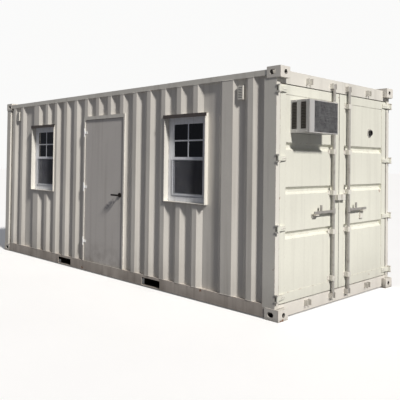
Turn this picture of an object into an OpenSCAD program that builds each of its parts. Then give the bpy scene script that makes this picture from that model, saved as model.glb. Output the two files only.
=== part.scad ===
// Cabin made from a twenty-foot steel freight container: corrugated walls, an entry door
// and two boxed windows in one long side, and a pair of cargo doors with an air
// conditioner at one end. Millimetres, +Z up, +X towards the cargo doors, the long side
// with the door faces -Y, and the origin lies midway between the four corner feet.

/* [Overall] */
// Length over the corner castings
body_l = 6058; // [5050:1:7270]
// Width over the corner castings
body_w = 2438; // [2030:1:2926]
// Height over the corner castings
body_h = 2591; // [2500:1:3109]

/* [Castings and frame] */
// Length of a corner casting
cast_l = 178; // [150:1:200]
// Width of a corner casting
cast_w = 162; // [145:1:180]
// Height of a corner casting
cast_h = 118; // [105:1:125]
// Wall of a corner casting
cast_wall = 28; // [20:1:32]
// Length of the slot in a casting's top or bottom
slot_l = 124; // [110:0.5:130]
// Width of the slot in a casting's top or bottom
slot_w = 63.5; // [55:0.5:70]
// Middle of the slot in from a casting's end face
slot_in_x = 102.5; // [90:0.5:110]
// Middle of the slot in from a casting's side face
slot_in_y = 89.5; // [80:0.5:95]
// Setback of posts, rails and sheets behind a casting's face
setback = 6; // [3:1:10]
// Length of a door-end post along the side
door_post_l = 160; // [140:1:190]
// Length of a blind-end post along the side
blind_post_l = 126; // [100:1:150]
// Width of a post across the end
post_w = 63; // [50:1:70]
// Wall of the posts
post_wall = 6; // [4:1:10]
// Height of the bottom rails above the ground
rail_z = 16; // [10:1:20]
// Top of the bottom rails, sill and floor
floor_z = 150; // [140:1:175]
// Width of the bottom side rails
rail_w = 48; // [40:1:60]
// Plate of the bottom rails
rail_wall = 6; // [4:1:8]
// Square section of the top side rails
top_rail = 60; // [50:1:70]
// Height of the top rails' upper face below the casting tops
top_drop = 28; // [26:1:34]
// Floor board
board = 28; // [22:1:30]
// Spacing of the cross members
cross_pitch = 285; // [240:5:320]
// Width of a cross member
cross_w = 45; // [35:1:60]

/* [Fork pockets] */
// Distance of each pocket from the middle
fork_x = 1025; // [900:5:1100]
// Width of a pocket
fork_w = 350; // [300:1:360]
// Plate of a pocket
fork_plate = 5; // [4:1:6]
// Length of the strap under a pocket's mouth
fork_strap = 380; // [200:10:500]

/* [Wall sheets] */
// Sheet thickness
sheet = 2; // [1.6:0.1:3]
// Depth of the side corrugation
rib_depth = 36; // [30:1:40]
// Outer flat of a side rib
rib_out = 74; // [60:1:85]
// Run of a side rib's slope
rib_slope = 68; // [55:1:75]
// Aimed-for spacing of the side ribs
rib_pitch = 283; // [240:1:320]
// Flat hollow of a marking panel
mark_in = 250; // [200:1:280]
// Raised flat of a marking panel
mark_out = 161; // [120:1:180]
// First hollow beside the blind-end post
first_in = 42; // [30:1:60]
// Last hollow beside the door-end post
last_in = 80; // [60:1:140]
// Depth of the blind-end corrugation
end_depth = 45; // [36:1:50]
// Spacing of the blind-end ribs
end_pitch = 250; // [220:1:280]
// Run of a blind-end rib's slope
end_slope = 18; // [14:1:24]
// Depth of the roof corrugation
roof_depth = 18; // [12:1:20]
// Spacing of the roof ribs
roof_pitch = 209; // [180:1:240]
// Run of a roof rib's slope
roof_slope = 16; // [12:1:20]
// Flat margin of the roof beside the top rails
roof_margin = 110; // [60:5:160]

/* [Entry door] */
// Middle of the entry door along the side
entry_x = -53; // [-200:1:200]
// Width of the entry leaf
entry_w = 914; // [800:1:1000]
// Height of the entry leaf
entry_h = 2032; // [1900:1:2100]
// Thickness of the entry leaf
entry_t = 45; // [38:1:50]
// Running gap around the entry leaf
entry_gap = 5; // [5:0.5:8]
// Face width of the entry frame's jambs
jamb = 30; // [25:1:40]
// Face height of the entry frame's head
jamb_head = 50; // [40:1:60]
// Depth of the entry frame
jamb_depth = 90; // [80:1:110]
// How far the leaf sits behind the frame's face
entry_recess = 12; // [12:1:24]
// Height of an entry hinge
entry_hinge_h = 124; // [100:1:140]
// Height of the lever above the leaf's bottom
lever_z = 984; // [900:1:1050]

/* [Windows] */
// Middle of the window left of the door
window_left_x = -1736; // [-1780:1:-1640]
// Middle of the window right of the door
window_right_x = 1619; // [1540:1:1700]
// Outer width of a window box
box_w = 715; // [600:1:760]
// Outer height of a window box
box_h = 1055; // [900:1:1150]
// Bottom of the window boxes
box_z = 1110; // [1000:1:1180]
// Plate of a window box
box_plate = 10; // [8:1:14]
// How far a window box stands out past the side ribs
box_out = 15; // [10:1:45]
// Depth of a window box
box_depth = 110; // [100:1:130]
// How far a window's frame sits behind its box's front
window_recess = 74; // [60:1:80]
// Face width of a window frame
frame_face = 58; // [45:1:70]
// Thickness of a window frame
frame_t = 34; // [28:1:36]
// Face width of a sash
sash_face = 42; // [35:1:50]
// Thickness of a sash
sash_t = 14; // [12:1:16]
// Glass thickness
glass_t = 5; // [4:1:6]

/* [Cargo doors] */
// Setback of the leaves' face behind the castings
leaf_back = 60; // [55:1:65]
// Depth of a leaf's frame
leaf_t = 50; // [45:1:55]
// Width of a leaf's stiles and rails
stile = 100; // [80:1:120]
// Gap between the leaves
leaf_gap = 12; // [10:1:16]
// Gap from a leaf to post, header and sill
leaf_clear = 12; // [8:1:14]
// Height of the header's lower edge below the casting tops
header_drop = 166; // [150:1:180]
// Depth of a leaf's pressed bands
band_depth = 32; // [24:1:36]
// Height of a pressed band's flat bottom
band_flat = 28; // [20:1:40]
// Height of a pressed band's slope
band_slope = 26; // [20:1:30]
// Height of the middle band above the ground
band_mid = 1312; // [1200:1:1400]
// Spacing of the bands
band_pitch = 464; // [400:1:500]
// Distance of the hinge pin behind the castings' end face
pin_back = 23; // [20:1:26]
// Distance of the hinge pin in from the castings' side face
pin_in = 14; // [14:1:18]
// Radius of the hinge pins
pin_r = 8; // [6:0.5:9]
// Radius of the hinge knuckles
knuckle_r = 14; // [12:0.5:14]
// Height of a hinge knuckle
knuckle_h = 52; // [40:1:70]
// Thickness of the hinge lugs
lug_t = 14; // [10:1:18]

/* [Locking gear] */
// Distance of each locking rod from the middle
rod_y = 165; // [150:1:180]
// Distance of the outer keepers from the middle
outer_keeper_y = 647; // [600:1:700]
// Distance of a rod's axis behind the castings' end face
rod_back = 28; // [27:0.5:29]
// Radius of a rod
rod_r = 17; // [15:0.5:18]
// Running clearance between a rod and its guides
rod_clear = 0.5; // [0.3:0.1:0.8]
// Height of the handles above the ground
handle_z = 1061; // [1000:1:1120]
// Length of a handle from its rod
handle_l = 400; // [350:5:450]

/* [Fittings on the cargo doors] */
// Distance of the cable fitting in from its leaf's hinge edge
fitting_in = 420; // [200:1:600]
// Height of the cable fitting
fitting_z = 1994; // [1860:1:2200]
// Middle of the lock box
lock_box_z = 1212; // [1180:1:1240]

/* [Air conditioner] */
// Distance of the air conditioner in from its leaf's hinge edge
ac_in = 184; // [120:1:260]
// Width of the air conditioner
ac_w = 544; // [480:1:560]
// Bottom of the air conditioner
ac_z = 1917; // [1900:1:1950]
// Height of the air conditioner
ac_h = 343; // [300:1:360]
// How far the air conditioner stands out past the castings' end face
ac_out = 170; // [120:1:200]
// Length of the air conditioner
ac_l = 450; // [400:1:500]
// Casing metal of the air conditioner
ac_wall = 3; // [2:0.5:4]

/* [Hidden] */
$fn = 48;
hx = body_l / 2;
hy = body_w / 2;
rail_y = hy - setback;
wall_x0 = -hx + setback + blind_post_l;
door_post_x1 = hx - setback - 47;
wall_x1 = door_post_x1 - door_post_l;
wall_in_y = rail_y - post_w;
top_z = body_h - top_drop;
sheet_z1 = top_z - top_rail;
header_z = body_h - header_drop;
leaf_x = hx - leaf_back;
leaf_z0 = floor_z + leaf_clear - 2;
leaf_z1 = header_z - leaf_clear + 2;
leaf_y1 = wall_in_y - leaf_clear;
rebate_y = 45;
rebate_x = leaf_x - leaf_t - 15;
pin_x = hx - pin_back;
pin_y = hy - pin_in;
pin_gap = 0.5;
leaf_h = leaf_z1 - leaf_z0;
panel_back = 4;
hinge_z = [for (f = [0.031, 0.342, 0.661, 0.976]) leaf_z0 + f * leaf_h];
rod_x = hx - rod_back;
rod_z0 = 78;
rod_z1 = body_h - 82;
guide_z = [leaf_z0 + 140, 830, 1270, 1737, leaf_z1 - 135];
entry_x0 = entry_x - entry_w / 2;
entry_x1 = entry_x + entry_w / 2;
entry_z0 = floor_z + 6;
entry_z1 = entry_z0 + entry_h;
entry_y = rail_y - entry_recess;
entry_pin_x = entry_x0 - entry_gap / 2;
entry_pin_y = rail_y + 11;
entry_knuckle_r = 6;
entry_pin_r = 3.5;
entry_hinge_z = [for (f = [0.135, 0.523, 0.912]) entry_z0 + f * entry_h];
box_y = rail_y + box_out;
window_y = box_y - window_recess;
lever_x = entry_x1 - 62;
fork_z0 = rail_z + 5;
fork_z1 = floor_z - board - fork_plate;
ac_x1 = hx + ac_out;
ac_y = ac_in - leaf_y1;
coil_y0 = ac_y + 92;
window_xs = [window_left_x, window_right_x];
sides = [-1, 1];

// Rows of the side sheet, each [hollow before the rib, rib's outer flat]
wall_l = wall_x1 - wall_x0;
fixed_l = first_in + last_in + 2 * (mark_in + mark_out) + 4 * rib_slope;
rib_count = floor((wall_l - fixed_l) / rib_pitch + 0.5);
rib_in = (wall_l - fixed_l - rib_count * (rib_out + 2 * rib_slope)) / (rib_count - 1);
side_rows = concat(
    [[first_in, rib_out], [rib_in, rib_out], [mark_in, mark_out]],
    [for (i = [1:rib_count - 3]) [rib_in, rib_out]],
    [[mark_in, mark_out], [rib_in, rib_out]]);

// Block from its two corners
module block(a, b) {
    translate(a) cube(b - a);
}

// Same piece on both long sides
module both_sides() {
    children();
    mirror([0, 1, 0]) children();
}

// Same piece at both ends and on both sides
module four_corners() {
    both_sides() {
        children();
        mirror([1, 0, 0]) children();
    }
}

// Upright slot with round ends, its length along X
module slot(l, w, h) {
    linear_extrude(h) {
        square([l - w, w], center = true);
        for (s = sides) translate([s * (l - w) / 2, 0]) circle(w / 2);
    }
}

// Where a row of ribs has got to before rib i
function reach(rows, slope, i) =
    i == 0 ? 0 : reach(rows, slope, i - 1) + rows[i - 1][0] + rows[i - 1][1] + 2 * slope;

// Outline of a pressed sheet from rib rows; depth is how far the hollows lie behind
function sheet_line(rows, slope, depth, len, lift) = concat(
    [[0, depth + lift]],
    [for (i = [0:len(rows) - 1]) let (s = reach(rows, slope, i) + rows[i][0])
        each [[s, depth + lift], [s + slope, lift],
            [s + slope + rows[i][1], lift], [s + 2 * slope + rows[i][1], depth + lift]]],
    [[len, depth + lift]]);

function backwards(list) = [for (i = [len(list) - 1:-1:0]) list[i]];

module pressed_sheet(rows, slope, depth, len, t) {
    polygon(concat(sheet_line(rows, slope, depth, len, 0),
        backwards(sheet_line(rows, slope, depth, len, t))));
}

// Corner casting at the origin's corner, mouth faces out at -X and -Y
module casting() {
    difference() {
        cube([cast_l, cast_w, cast_h]);
        translate([cast_wall, cast_wall, cast_wall])
            cube([cast_l - 2 * cast_wall, cast_w - 2 * cast_wall, cast_h - 2 * cast_wall]);
        translate([slot_in_x, slot_in_y, -1]) slot(slot_l, slot_w, cast_wall + 2);
        translate([slot_in_x, cast_wall + 1, cast_h / 2]) rotate([90, 0, 0])
            slot(79, 51, cast_wall + 2);
        translate([-1, slot_in_y, cast_h / 2]) rotate([0, 90, 0])
            slot(51, 50, cast_wall + 2);
    }
}

module bottom_castings() {
    color("dimgray") four_corners() translate([-hx, -hy, 0]) casting();
}

module top_castings() {
    color("dimgray") four_corners()
        translate([-hx, -hy, body_h]) mirror([0, 0, 1]) casting();
}

// Door-end post: hollow corner tube and the inner rebate that the leaf shuts against
module door_end_posts() {
    h = body_h - 2 * cast_h;
    color("tan") both_sides() translate([0, -rail_y, cast_h]) linear_extrude(h)
        difference() {
            union() {
                translate([wall_x1, 0]) square([door_post_l, post_w]);
                translate([wall_x1, 0]) square([rebate_x - wall_x1, post_w + rebate_y]);
            }
            translate([wall_x1 + post_wall, post_wall])
                square([door_post_l - 2 * post_wall, post_w - 2 * post_wall]);
        }
}

module blind_end_posts() {
    h = body_h - 2 * cast_h;
    color("tan") both_sides() translate([-hx + setback, -rail_y, cast_h])
        linear_extrude(h) difference() {
            square([blind_post_l, post_w]);
            translate([post_wall, post_wall])
                square([blind_post_l - 2 * post_wall, post_w - 2 * post_wall]);
        }
}

// C-shaped rail, open inwards, with a cut-out at each fork pocket
module bottom_side_rails() {
    h = floor_z - rail_z;
    len = body_l - 2 * cast_l;
    color("sienna") both_sides() difference() {
        translate([-len / 2, -rail_y, rail_z]) rotate([90, 0, 90]) linear_extrude(len)
            difference() {
                square([rail_w, h]);
                translate([rail_wall, rail_wall]) square([rail_w, h - 2 * rail_wall]);
            }
        for (s = sides) block([s * fork_x - fork_w / 2, -hy, fork_z0],
            [s * fork_x + fork_w / 2, -hy + 2 * rail_w, fork_z1]);
        block([wall_x1, -hy, cast_h], [hx, -hy + 2 * rail_w, floor_z + 1]);
        block([-hx, -hy, cast_h], [wall_x0, -hy + 2 * rail_w, floor_z + 1]);
    }
}

module top_side_rails() {
    len = body_l - 2 * cast_l;
    color("sienna") both_sides() translate([-len / 2, -rail_y, sheet_z1])
        rotate([90, 0, 90]) linear_extrude(len) difference() {
            square(top_rail);
            translate([4, 4]) square(top_rail - 8);
        }
}

module door_header() {
    in_y = hy - cast_w;
    color("wheat") {
        block([hx - cast_l, -in_y, header_z], [leaf_x, in_y, top_z]);
        for (s = sides) block(
            [rebate_x + 5, s > 0 ? in_y : -wall_in_y, header_z],
            [leaf_x, s > 0 ? wall_in_y : -in_y, body_h - cast_h]);
    }
}

module door_sill() {
    in_y = hy - cast_w;
    color("wheat") {
        block([hx - cast_l, -in_y, rail_z], [leaf_x, in_y, floor_z]);
        for (s = sides) block(
            [rebate_x + 5, s > 0 ? in_y : -wall_in_y, cast_h],
            [leaf_x, s > 0 ? wall_in_y : -in_y, floor_z]);
    }
}

module blind_end_rails() {
    in_y = hy - cast_w;
    x0 = -hx + setback;
    color("sienna") {
        block([x0, -in_y, rail_z], [x0 + top_rail, in_y, floor_z]);
        block([x0, -in_y, sheet_z1], [x0 + top_rail, in_y, top_z]);
    }
}

// Tunnels for a fork lift: roof plate, two cheeks and a strap below each mouth
module fork_pockets() {
    y = rail_y - rail_w;
    color("gray") for (s = sides) translate([s * fork_x, 0, 0]) {
        block([-fork_w / 2 - fork_plate, -y, fork_z1],
            [fork_w / 2 + fork_plate, y, fork_z1 + fork_plate]);
        for (t = sides) translate([t * (fork_w + fork_plate) / 2, 0, 0])
            block([-fork_plate / 2, -y, rail_z + 1], [fork_plate / 2, y, fork_z1]);
        both_sides() block([-fork_w / 2 - fork_plate, -y, rail_z + 1],
            [fork_w / 2 + fork_plate, -y + fork_strap, fork_z0]);
    }
}

// Joists between the side rails, left out where a fork pocket runs
module cross_members() {
    y = rail_y - rail_w;
    n = floor((hx - cast_l - cross_w) / cross_pitch);
    keep = fork_w / 2 + fork_plate + cross_w / 2 + 5;
    color("gray") for (i = [-n:n]) if (abs(abs(i * cross_pitch) - fork_x) > keep)
        translate([i * cross_pitch, 0, 0]) block([-cross_w / 2, -y, rail_z + 12],
            [cross_w / 2, y, floor_z - board]);
}

module floor() {
    color("peru") {
        block([wall_x0, -rail_y + rail_w, floor_z - board],
            [wall_x1, rail_y - rail_w, floor_z]);
        block([wall_x1, -wall_in_y + rebate_y, floor_z - board],
            [hx - cast_l, wall_in_y - rebate_y, floor_z]);
        block([-hx + setback + top_rail, -wall_in_y, floor_z - board],
            [wall_x0, wall_in_y, floor_z]);
    }
}

// Pressed roof lying on the top rails: crosswise ribs, closed at their ends, and a flat
// margin along each side
module roof() {
    x0 = -hx + setback + 20;
    x1 = hx - cast_l + 60;
    n = floor((x1 - x0 - 160) / roof_pitch);
    flat = roof_pitch / 2 - roof_slope;
    edge = (x1 - x0 - n * roof_pitch + flat) / 2;
    rows = [for (i = [0:n - 1]) [i == 0 ? edge : flat, flat]];
    y = rail_y - 30;
    rib_y = y - roof_margin;
    color("burlywood") difference() {
        union() {
            translate([x0, rib_y, top_z + roof_depth + sheet]) rotate([90, 0, 0])
                linear_extrude(2 * rib_y) mirror([0, 1])
                pressed_sheet(rows, roof_slope, roof_depth, x1 - x0, sheet);
            both_sides() {
                block([x0, -y, top_z], [x1, -rib_y, top_z + sheet]);
                translate([x0, -rib_y + sheet, top_z + roof_depth + sheet])
                    rotate([90, 0, 0]) linear_extrude(sheet) mirror([0, 1])
                    polygon(concat(sheet_line(rows, roof_slope, roof_depth, x1 - x0, 0),
                        [[x1 - x0, roof_depth + sheet], [0, roof_depth + sheet]]));
            }
        }
        four_corners() block([-hx, -hy, top_z - 1], [-hx + cast_l, -hy + cast_w, body_h]);
    }
}

// Piece of the long side's pressed sheet between two lengths and two heights
module side_sheet(x0, x1, z0, z1) {
    intersection() {
        translate([wall_x0, -rail_y, floor_z]) linear_extrude(sheet_z1 - floor_z)
            pressed_sheet(side_rows, rib_slope, rib_depth, wall_l, sheet);
        block([x0, -rail_y - 1, z0], [x1, -rail_y + 2 * rib_depth, z1]);
    }
}

module casting_cut() {
    for (s = sides) block(
        [s > 0 ? hx - cast_l : -hx, -hy, body_h - cast_h],
        [s > 0 ? hx : -hx + cast_l, -hy + cast_w, body_h]);
}

module window_cut(x) {
    block([x - box_w / 2, -box_y, box_z], [x + box_w / 2, -box_y + 2 * box_depth, box_z + box_h]);
}

module front_wall_left() {
    color("tan") difference() {
        side_sheet(wall_x0, entry_x0 - entry_gap - jamb, floor_z, sheet_z1);
        window_cut(window_left_x);
        casting_cut();
    }
}

module front_wall_over_door() {
    color("tan") side_sheet(entry_x0 - entry_gap - jamb, entry_x1 + entry_gap + jamb,
        entry_z1 + entry_gap + jamb_head, sheet_z1);
}

module front_wall_right() {
    color("tan") difference() {
        side_sheet(entry_x1 + entry_gap + jamb, wall_x1, floor_z, sheet_z1);
        window_cut(window_right_x);
        casting_cut();
    }
}

module back_wall() {
    color("tan") mirror([0, 1, 0]) difference() {
        side_sheet(wall_x0, wall_x1, floor_z, sheet_z1);
        casting_cut();
    }
}

module blind_end_wall() {
    w = 2 * wall_in_y;
    n = floor((w - 60) / end_pitch);
    flat = end_pitch / 2 - end_slope;
    edge = (w - n * end_pitch + flat) / 2;
    rows = [for (i = [0:n - 1]) [i == 0 ? edge : flat, flat]];
    color("tan") difference() {
        translate([-hx + setback, wall_in_y, floor_z]) rotate([0, 0, -90])
            linear_extrude(sheet_z1 - floor_z)
            pressed_sheet(rows, end_slope, end_depth, w, sheet);
        both_sides() block([-hx, -hy, body_h - cast_h], [-hx + cast_l, -hy + cast_w, body_h]);
    }
}

// Labyrinth ventilators near the top corners, each in a hollow of the side sheet
module ventilators() {
    n = len(side_rows) - 1;
    xs = [wall_x0 + reach(side_rows, rib_slope, 1) + rib_in / 2,
        wall_x0 + reach(side_rows, rib_slope, n) + rib_in / 2];
    z = sheet_z1 - 150;
    color("silver") both_sides() for (x = xs)
        block([x - rib_in / 2 + 1, -rail_y - 3, z - 75],
            [x + rib_in / 2 - 1, -rail_y + rib_depth, z + 75]);
}

// Steel frame of the entry door: jambs, head and a thin threshold
module entry_frame() {
    x0 = entry_x0 - entry_gap;
    x1 = entry_x1 + entry_gap;
    z1 = entry_z1 + entry_gap;
    y1 = -rail_y + jamb_depth;
    color("gray") difference() {
        block([x0 - jamb, -rail_y, floor_z], [x1 + jamb, y1, z1 + jamb_head]);
        block([x0, -rail_y - 1, floor_z + 1], [x1, y1 + 1, z1]);
    }
}

module entry_door() {
    color("darkgray") difference() {
        block([entry_x0, -entry_y, entry_z0], [entry_x1, -entry_y + entry_t, entry_z1]);
        translate([lever_x, -entry_y - 1, entry_z0 + lever_z]) rotate([-90, 0, 0])
            cylinder(r = 9 + 0.5, h = entry_t + 2);
    }
}

// Frame's half of each entry hinge: wing on the jamb, outer knuckles and the pin
module entry_hinges() {
    h = entry_hinge_h;
    color("silver") for (z = entry_hinge_z) translate([0, 0, z]) {
        block([entry_x0 - entry_gap - jamb + 2, -rail_y - 4, -h / 2],
            [entry_x0 - entry_gap, -rail_y, h / 2]);
        for (s = sides) translate([0, 0, s * h / 3]) {
            translate([entry_pin_x, -entry_pin_y, -h / 6]) cylinder(r = entry_knuckle_r, h = h / 3);
            block([entry_pin_x - 8, -entry_pin_y, -h / 6],
                [entry_pin_x, -rail_y, h / 6]);
        }
        translate([entry_pin_x, -entry_pin_y, -h / 2]) cylinder(r = entry_pin_r, h = h);
    }
}

// Leaf's half of each entry hinge: middle knuckle, web and wing on the leaf's face
module entry_hinge_wings() {
    h = entry_hinge_h / 3 - 1;
    color("silver") for (z = entry_hinge_z) translate([0, 0, z - h / 2])
        difference() {
            union() {
                translate([entry_pin_x, -entry_pin_y, 0]) cylinder(r = entry_knuckle_r, h = h);
                block([entry_x0, -entry_pin_y - 2, 0], [entry_x0 + 8, -entry_y, h]);
                block([entry_x0, -entry_y - 5, 0], [entry_x0 + 46, -entry_y, h]);
                block([entry_pin_x, -entry_pin_y - 4, 0], [entry_x0 + 8, -entry_pin_y + 4, h]);
            }
            translate([entry_pin_x, -entry_pin_y, -1]) cylinder(r = entry_pin_r + 0.4, h = h + 2);
        }
}

// Lever on both faces of the leaf, joined by a spindle
module entry_lever() {
    z = entry_z0 + lever_z;
    color("dimgray") {
        translate([lever_x, -entry_y - 56, z]) rotate([-90, 0, 0])
            cylinder(r = 9, h = entry_t + 112);
        for (y = [-entry_y - 12, -entry_y + entry_t]) translate([lever_x, y, z])
            rotate([-90, 0, 0]) cylinder(r = 30, h = 12);
        for (y = [-entry_y - 64, -entry_y + entry_t + 48])
            block([lever_x - 124, y, z - 11], [lever_x + 12, y + 16, z + 11]);
    }
}

// Plate boxes set through the sheet around each window
module window_boxes() {
    color("tan") for (x = window_xs) difference() {
        block([x - box_w / 2, -box_y, box_z], [x + box_w / 2, -box_y + box_depth, box_z + box_h]);
        block([x - box_w / 2 + box_plate, -box_y - 1, box_z + box_plate],
            [x + box_w / 2 - box_plate, -box_y + box_depth + 1, box_z + box_h - box_plate]);
    }
}

module ring(x, y, t, w, z0, z1, face) {
    difference() {
        block([x - w / 2, y, z0], [x + w / 2, y + t, z1]);
        block([x - w / 2 + face, y - 1, z0 + face], [x + w / 2 - face, y + t + 1, z1 - face]);
    }
}

window_w = box_w - 2 * box_plate;
window_z0 = box_z + box_plate;
window_z1 = box_z + box_h - box_plate;
sash_w = window_w - 2 * frame_face;
sash_z0 = window_z0 + frame_face;
sash_z1 = window_z1 - frame_face;
sash_mid = (sash_z0 + sash_z1) / 2;

module window_frames() {
    color("white") for (x = window_xs)
        ring(x, -window_y, frame_t, window_w, window_z0, window_z1, frame_face);
}

// Upper sash outside, lower sash behind it, meeting at mid height
module window_sashes() {
    color("whitesmoke") for (x = window_xs) {
        ring(x, -window_y + 2, sash_t, sash_w, sash_mid - sash_face / 2, sash_z1, sash_face);
        ring(x, -window_y + 2 + sash_t, sash_t, sash_w, sash_z0, sash_mid + sash_face / 2,
            sash_face);
    }
}

module window_glass() {
    w = sash_w / 2 - sash_face;
    y = -window_y + 2 + (sash_t - glass_t) / 2;
    color([0.3, 0.35, 0.4, 0.5]) for (x = window_xs) {
        block([x - w, y, sash_mid + sash_face / 2], [x + w, y + glass_t, sash_z1 - sash_face]);
        block([x - w, y + sash_t, sash_z0 + sash_face],
            [x + w, y + sash_t + glass_t, sash_mid - sash_face / 2]);
    }
}

// Frame of a cargo leaf: two stiles and two rails
module cargo_frame() {
    color("wheat") difference() {
        block([leaf_x - leaf_t, leaf_gap / 2, leaf_z0], [leaf_x, leaf_y1, leaf_z1]);
        block([leaf_x - leaf_t - 1, leaf_gap / 2 + stile, leaf_z0 + stile],
            [leaf_x + 1, leaf_y1 - stile, leaf_z1 - stile]);
    }
}

// Pressed panel of a cargo leaf with three hollow bands across it
module cargo_panel() {
    z0 = leaf_z0 + stile;
    h = leaf_z1 - leaf_z0 - 2 * stile;
    bands = [for (i = [-1:1]) band_mid + i * band_pitch - z0];
    top = [for (b = bands) each [[b - band_flat / 2 - band_slope, 0],
        [b - band_flat / 2, -band_depth], [b + band_flat / 2, -band_depth],
        [b + band_flat / 2 + band_slope, 0]]];
    line = concat([[0, 0]], top, [[h, 0]]);
    under = [for (p = line) [p[0], p[1] - sheet]];
    len = leaf_y1 - leaf_gap / 2 - 2 * stile;
    color("wheat") translate([leaf_x - panel_back, leaf_gap / 2 + stile + len, z0])
        rotate([90, 0, 0]) linear_extrude(len)
        polygon([for (p = concat(line, backwards(under))) [p[1], p[0]]]);
}

module cargo_frame_left() {
    mirror([0, 1, 0]) cargo_frame();
}

module cargo_panel_left() {
    difference() {
        mirror([0, 1, 0]) cargo_panel();
        block([leaf_x - leaf_t, ac_y - 0.5, ac_z - 0.5],
            [leaf_x + 1, ac_y + ac_w + 0.5, ac_z + ac_h + 0.5]);
    }
}

module cargo_frame_right() {
    cargo_frame();
}

module cargo_panel_right() {
    cargo_panel();
}

// Lugs above and below each cargo hinge, with its pin, welded to the door-end posts
module cargo_hinge_lugs() {
    color("gray") both_sides() for (z = hinge_z) {
        for (s = sides) translate([0, 0, z + s * (knuckle_h / 2 + 1 + lug_t / 2)])
            block([door_post_x1, -hy, -lug_t / 2], [pin_x + 13, -pin_y + 13, lug_t / 2]);
        translate([pin_x, -pin_y, z - knuckle_h / 2 - 1 - lug_t])
            cylinder(r = pin_r, h = knuckle_h + 2 + 2 * lug_t);
    }
}

// Hinge strap of a cargo leaf: knuckle round the pin, a neck set back so that the leaf can
// fold against the side, and a plate on the leaf's face
module cargo_hinges() {
    back = pin_x - 25;
    front = pin_x - 13;
    arm = [[leaf_x, leaf_y1 - 98], [leaf_x, leaf_y1 - 10], [back, leaf_y1 + 6],
        [back, pin_y - 10], [pin_x - 10, pin_y], [pin_x, pin_y], [pin_x, pin_y - 12],
        [front, pin_y - 25], [front, leaf_y1 + 4], [leaf_x + 10, leaf_y1 - 98]];
    color("gray") for (z = hinge_z) translate([0, 0, z - knuckle_h / 2])
        linear_extrude(knuckle_h) difference() {
            union() {
                polygon(arm);
                translate([pin_x, pin_y]) circle(knuckle_r);
            }
            translate([pin_x, pin_y]) circle(pin_r + pin_gap);
        }
}

module cargo_hinges_left() {
    mirror([0, 1, 0]) cargo_hinges();
}

module cargo_hinges_right() {
    cargo_hinges();
}

// Locking rod with a cam at each end, its handle and the handle's lug
module lock_rod(lug_at) {
    color("silver") translate([rod_x, rod_y, 0]) {
        translate([0, 0, rod_z0]) cylinder(r = rod_r, h = rod_z1 - rod_z0);
        for (z = [rod_z0, rod_z1 - 30]) block([-10, -18, z], [10, 18, z + 30]);
        translate([0, 0, handle_z - 31]) cylinder(r = 24, h = 62);
        block([2, 16, handle_z - 14], [14, handle_l, handle_z + 14]);
        block([2, lug_at - 15, handle_z + 14], [14, lug_at + 15, handle_z + 78]);
    }
}

module lock_rod_left() {
    mirror([0, 1, 0]) lock_rod(265);
}

module lock_rod_right() {
    lock_rod(160);
}

// Rod guides, handle catch and half of the lock box, all on a leaf's face
module lock_brackets(catch_drop) {
    color("wheat") {
        for (z = guide_z) translate([leaf_x, rod_y, z]) difference() {
            block([-panel_back, -34, -28], [hx - leaf_x - 10, 34, 28]);
            translate([rod_x - leaf_x, 0, -40]) cylinder(r = rod_r + rod_clear, h = 80);
        }
        block([leaf_x - panel_back, rod_y + handle_l - 90, handle_z - 34],
            [hx - 14, rod_y + handle_l - 20, handle_z - 22]);
        block([leaf_x - panel_back, rod_y + handle_l - 90, handle_z - 34 - catch_drop],
            [leaf_x + 12, rod_y + handle_l - 20, handle_z - 34]);
        block([leaf_x, leaf_gap / 2, lock_box_z - 32], [hx - 18, 84, lock_box_z + 32]);
    }
}

module lock_brackets_left() {
    mirror([0, 1, 0]) lock_brackets(24);
}

module lock_brackets_right() {
    lock_brackets(90);
}

// Keepers on header and sill: two cheeks each, open at the front and towards the rod
module lock_keepers() {
    ys = [-outer_keeper_y, -rod_y, rod_y, outer_keeper_y];
    color("wheat") for (y = ys, z = [rod_z0 - 8, rod_z1 - 54]) translate([leaf_x, y, z]) {
        block([0, -36, 0], [5, 36, 62]);
        for (s = sides) translate([0, s * 31.5, 0]) block([5, -4.5, 0], [46, 4.5, 62]);
    }
}

// Round cable fitting on the right leaf's top panel
module cable_fitting() {
    color("dimgray") translate([leaf_x - panel_back, leaf_y1 - fitting_in, fitting_z]) rotate([0, 90, 0])
        difference() {
            union() {
                cylinder(r = 55, h = 6);
                cylinder(r = 34, h = 30);
            }
            translate([0, 0, 8]) cylinder(r = 24, h = 30);
        }
}

// Casing of the air conditioner, with a window over the coil and louvre openings
module ac_casing() {
    x0 = ac_x1 - ac_l;
    y1 = ac_y + ac_w;
    z1 = ac_z + ac_h;
    color("lightgray") difference() {
        block([x0, ac_y, ac_z], [ac_x1, y1, z1]);
        block([x0 + ac_wall, ac_y + ac_wall, ac_z + ac_wall],
            [ac_x1 - ac_wall, y1 - ac_wall, z1 - ac_wall]);
        block([ac_x1 - ac_wall - 1, coil_y0, ac_z + 10], [ac_x1 + 1, y1 - 10, z1 - 10]);
        for (x = [hx - 48, hx + 66]) block([x, ac_y - 1, ac_z + 40],
            [x + 62, y1 + 1, z1 - 24]);
    }
}

module ac_coil() {
    color("slategray") block([ac_x1 - 40, coil_y0, ac_z + ac_wall],
        [ac_x1 - ac_wall, ac_y + ac_w - ac_wall, ac_z + ac_h - ac_wall]);
}

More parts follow.
